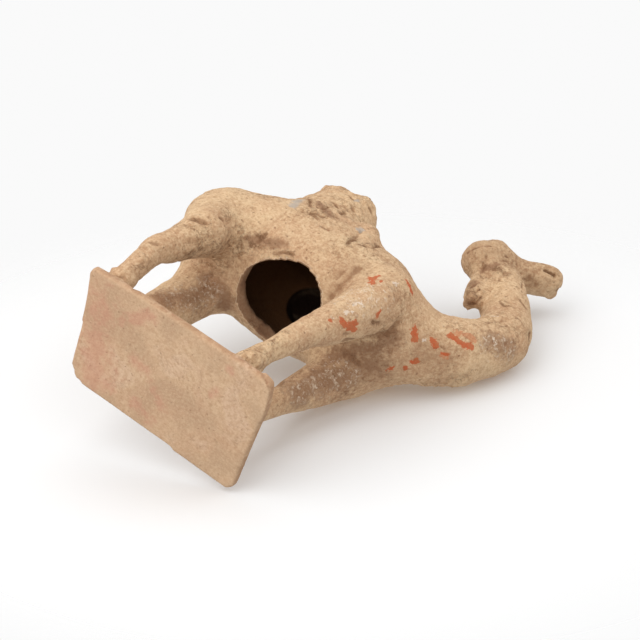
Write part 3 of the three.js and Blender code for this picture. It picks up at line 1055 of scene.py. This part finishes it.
def pottery_material():
    material = bpy.data.materials.new("earthenware")
    tree = empty_tree(material)
    place = tree.node("ShaderNodeTexCoord").outputs["Object"]

    def mark(name):
        return tree.add("ShaderNodeAttribute", {"attribute_name": name}, output="Fac")

    def laid(name, share):
        """The colour so far under one more layer."""
        own, cover = LAYERS[name]
        return tree.mix(share * cover, colour, tone(own))

    slab = tree.axes(place)[2].ramp(SLAB_TOP, SLAB_TOP + 2 * MM, 1.0, 0.0)
    body = 1 - slab * 0.5
    cloud = tree.noise(place, 16.0, 5.0, 0.6)
    mottle = tree.noise(place, 75.0, 5.0, 0.65)
    fine = tree.noise(place, 210.0, 4.0, 0.65)
    speckle = tree.noise(place, 460.0, 3.0, 0.7)
    streak = tree.noise(tree.stretched(place, (1.0, 1.0, 0.22)), 260.0, 3.0, 0.6)
    ridge = tree.noise(place, 52.0, 4.0, 0.62, 0.8)
    patch = tree.noise(place, 24.0, 2.0)
    # the share of stains and of painted shade in creases
    stain_and_shade_share = mark("stain_and_crease_shade").ramp(0.0, 0.7)
    split = lines(ridge, 0.02) * (patch + stain_and_shade_share * 0.2 + mark("crust") * 0.12).ramp(0.5, 0.64) * body
    pits = tree.noise(place, 310.0, 1.0).ramp(0.68, 0.76)
    worked = patch.ramp(0.40, 0.60, 0.35, 1.0)
    colour = tree.mix(cloud.ramp(0.36, 0.64), tone(DEEP_CLAY), tone(PALE_CLAY))
    colour = laid("dusting", mottle.ramp(0.42, 0.62))
    colour = laid("slab", slab)
    colour = laid("dark slab", patch.ramp(0.40, 0.56, 1.0, 0.0) * slab)
    colour = laid("pale slab", patch.ramp(0.54, 0.66) * slab)
    colour = laid("wiping", (fine * 0.5 + streak * 0.5).ramp(0.44, 0.60) * body * worked)
    colour = laid("pale specks", speckle.ramp(0.50, 0.64) * body)
    colour = laid("dark specks", speckle.ramp(0.36, 0.48, 1.0, 0.0) * body)
    # painted shade: darker where the relief sinks, mixed below with mottled dirt
    sunk_shade = mark("rise").largest(-1.2) * -0.5
    colour = laid("dirt_and_hollow_shade", (sunk_shade + mottle * 1.4 + fine * 0.8 + stain_and_shade_share * 0.22 - 1.14).ramp(0.0, 0.7))
    # painted shade below the forelegs and on the thighs, partly browner dirt
    colour = laid("shade", (mark("shade") * 1.2 + about(mottle, 2.0) + about(fine, 1.4)).ramp(0.0, 1.1))
    # broad faint painted shade in creases and under the foreleg, and a browner head
    colour = laid("dusk", (mark("dusky") + about(fine, 1.2)).ramp(0.0, 1.0))
    cracks = lines(tree.noise(place, 150.0, 4.0, 0.6, 1.0), 0.05)
    broken = about(fine, 4.0) + about(speckle, 5.0) + about(mottle, 3.0)
    # brown stains, and painted shade where they follow creases, pits and the mouth slit
    colour = laid("stain_and_crease_shade", (mark("stain_and_crease_shade") * 0.8 + broken).ramp(0.1, 1.3) * (0.45 + cracks * 0.55))
    colour = laid("splits", split)
    colour = laid("pits", pits * body)
    rim, edge = mark("rim"), mark("edge")
    # painted shade on the cut face, and a painted highlight along its edge
    colour = laid("cut face shade", rim.ramp(0.35, 0.6))
    colour = laid("cut highlight", (rim - 0.22).size().ramp(0.0, 0.2, 1.0, 0.0))
    colour = laid("slab edge", edge * (mottle + fine).ramp(0.7, 1.1))
    blush = (mark("blush") + about(mottle, 3.0) + about(fine, 1.6) + about(cloud, 2.0)).ramp(0.0, 1.2)
    colour = laid("blush", blush * slab * (1 - edge * 0.8))
    colour = laid("fill", (mark("fill") + about(fine, 1.6)).ramp(0.0, 0.8))
    flaked = (mark("flaked") * 1.5).ramp(0.0, 0.8)
    colour = laid("film", (fine * 2.0 + mottle + speckle * 0.6 - 1.75).ramp(0.0, 0.5) * flaked)
    vein = lines(tree.noise(place, 70.0, 3.0, 0.55, 1.2), 0.03, 0.4) * fine.ramp(0.44, 0.54)
    colour = laid("flakes", (speckle + fine).ramp(1.08, 1.20).largest(vein) * flaked)
    colour = laid("chalk", (mark("chalk") + about(fine, 3.6) + about(speckle, 3.0)).ramp(0.0, 0.7))
    torn = about(fine, 3.6) + about(speckle, 1.6) + 0.05
    worn = (mark("worn") + torn + about(streak, 4.0)).ramp(0.0, 0.6)
    colour = laid("worn pigment", worn * mark("worn").ramp(-0.6, 0.0))
    red = tree.mix(fine.ramp(0.35, 0.65), tone(BRIGHT_RED), tone(PALE_RED))
    colour = tree.mix((mark("pigment") + torn).ramp(0.0, 0.35) * RED_COVER, colour, red)
    # painted shade: the walls of the hollow are painted dark brown, as little light reaches them
    colour = laid("hollow", mark("inside"))
    # painted shadow: a near-black disc where the recess lies in the dark
    colour = laid("recess_shadow", mark("recess_shadow").ramp(0.0, 0.12))
    grit = tree.noise(place, 800.0, 4.0, 0.7) * 0.8 + fine * 1.6 + mottle + streak * 0.8 - split * 0.7 - pits
    grain = tree.node("ShaderNodeBump", None, {"Height": grit * body, "Strength": 0.7, "Distance": 0.9 * MM})
    finish = {
        "Base Color": colour,
        "Normal": grain.outputs[0],
        "Roughness": 0.92,
        "Specular IOR Level": 0.25,
    }
    shader = tree.node("ShaderNodeBsdfPrincipled", None, finish)
    tree.node("ShaderNodeOutputMaterial", None, {"Surface": shader.outputs[0]})
    return material


pottery = pottery_material()
print("the clay's tree has", len(pottery.node_tree.nodes), "nodes")

# %% Raise the relief on the clay
relief = relief_tree(pottery)
sockets = {item.name: item.identifier for item in relief.interface.items_tree if item.in_out == "INPUT"}
heights = [(sockets[name], value) for name, value in HEIGHTS.items()]
clay.materials.clear()
clay = made_by(in_scene("lump", clay), "NODES", {"node_group": relief}, heights)
clay.shade_smooth()
print("the relief's materials are", [material.name for material in clay.materials])

# %% [markdown]
# The dressed clay is one piece. It belongs to the only body of the figure and stands for both solids of the
# imported model.

# %% Put the figure on the frame
figure = in_scene("pottery_camel", clay)
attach(figure, "root")
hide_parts("camel_figure", "base_slab")
print(figure.name, "has", triangles(clay), "triangles")

# %% [markdown]
# ## The stage
# The photo's pale table touches the camel's left side. It is a plane that only the camera sees: it takes
# the figure's shadow, but doesn't darken the side that lies on it. Seen from behind it is clear, and it
# fades into the pale background. A second plane of the same kind lies under the slab, for the views of
# the figure standing.

# %% Build the stage
TABLE_UP = Vector((-0.39, -0.92, 0.01)).normalized()
WHITE = (1, 1, 1, 1)
SHEET_REACH = 0.5  # metres from the middle of a sheet to its edge
FADES_FROM = 0.55  # the share of that reach where it begins to fade
TABLE_WHITENESS, TABLE_GLOW = 0.77, 0.03
FLOOR_WHITENESS, FLOOR_GLOW = 0.5, 0.5
FLOOR_AT = Vector((0.0, 0.0, -0.5 * MM))


def paper_material(name, centre, whiteness, glow):
    material = bpy.data.materials.new(name)
    tree = empty_tree(material)
    place = tree.node("ShaderNodeTexCoord").outputs["Object"]
    shown = tree.distance(place, centre).ramp(FADES_FROM * SHEET_REACH, SHEET_REACH, 1.0, 0.0)
    back = tree.add("ShaderNodeNewGeometry", output="Backfacing")
    finish = {
        "Base Color": (whiteness, whiteness, whiteness, 1),
        "Roughness": 1.0,
        "Specular IOR Level": 0.0,
        "Emission Color": WHITE,
        "Emission Strength": glow,
    }
    matt = tree.node("ShaderNodeBsdfPrincipled", None, finish)
    clear = tree.node("ShaderNodeBsdfTransparent")
    shares = {0: shown * (1 - back), 1: clear.outputs[0], 2: matt.outputs[0]}
    mixed = tree.node("ShaderNodeMixShader", None, shares)
    tree.node("ShaderNodeOutputMaterial", None, {"Surface": mixed.outputs[0]})
    return material


def looking(place, way):
    """The matrix that sets a sheet or a lamp at a place, with its Z pointing one way."""
    return Matrix.Translation(place) @ way.to_track_quat("Z", "Y").to_matrix().to_4x4()


def paper(name, centre, up, whiteness, glow):
    """A round of pale paper that faces one way and that only the camera sees."""
    shape = bmesh.new()
    turn = looking(centre, up)
    bmesh.ops.create_circle(shape, cap_ends=True, radius=SHEET_REACH, segments=64, matrix=turn)
    mesh = bpy.data.meshes.new(name)
    shape.to_mesh(mesh)
    shape.free()
    mesh.materials.append(paper_material(name, centre, whiteness, glow))
    sheet = in_scene(name, mesh)
    for seen_by in ("diffuse", "glossy", "transmission", "volume_scatter", "shadow"):
        setattr(sheet, f"visible_{seen_by}", False)
    return sheet


def table_centre(points):
    """The foot of the figure's middle on the plane that touches the figure's left side."""
    middle = Vector(points.mean(axis=0))
    lowest = (points @ np.array(TABLE_UP)).min()
    return middle + TABLE_UP * (lowest - middle.dot(TABLE_UP))


table = paper("photo_table", table_centre(read_points(clay)), TABLE_UP, TABLE_WHITENESS, TABLE_GLOW)
floor = paper("floor", FLOOR_AT, Vector((0, 0, 1)), FLOOR_WHITENESS, FLOOR_GLOW)
print("the stage has", table.name, "and", floor.name)

# %% [markdown]
# ## The light
# The photo was lit from all round above the table, as by soft boxes and a white tent, and the white table
# throws light back from below. So the room itself glows, a little less from below and a little more round
# the lens, and three broad lamps add to it.

# %% Light it
ROOM_BELOW = 0.66
ROOM_ABOVE = 0.74
ROOM_FRONT = 0.22  # added round the lens
HORIZON = 0.2  # how far above and below its middle the room turns from one glow to the other
PAPER = 0.955  # how white the room looks in the picture
FIGURE_MIDDLE = Vector((0.02, 0.0, 0.21))
LAMP_AWAY = 1.2
LAMP_SIZE = 1.2
LAMPS = {
    # the way each lamp stands, and its watts
    "right": (TABLE_UP + PICTURE_RIGHT, 3.5),
    "back": (TABLE_UP - PICTURE_DOWN - 0.5 * PICTURE_RIGHT, 3.7),
    "front_left": (0.6 * TABLE_UP - PICTURE_RIGHT + TOWARDS_LENS, 7.1),
}


def light_room():
    world = bpy.data.worlds.new("room")
    tree = empty_tree(world)
    way = tree.node("ShaderNodeTexCoord").outputs["Generated"]
    room_light = tree.along(way, TABLE_UP).ramp(-HORIZON, HORIZON, ROOM_BELOW, ROOM_ABOVE)
    room_light = room_light + tree.along(way, TOWARDS_LENS).ramp(0.2, 1.0, 0.0, ROOM_FRONT)
    seen = tree.add("ShaderNodeLightPath", output="Is Camera Ray")
    strength = seen * PAPER + (1 - seen) * room_light
    room = tree.node("ShaderNodeBackground", None, {"Color": WHITE, "Strength": strength})
    tree.node("ShaderNodeOutputWorld", None, {"Surface": room.outputs[0]})
    bpy.context.scene.world = world
    bpy.context.scene.view_settings.view_transform = "Standard"


def lamp(name, way, watts):
    """A square soft lamp that looks at the middle of the figure from one way."""
    data = bpy.data.lights.new(name, "AREA")
    data.size = LAMP_SIZE
    data.energy = watts
    made = in_scene(name, data)
    made.matrix_world = looking(FIGURE_MIDDLE + way.normalized() * LAMP_AWAY, way)


light_room()
for name, (way, watts) in LAMPS.items():
    lamp(name, way, watts)
print("lamps:", ", ".join(LAMPS))
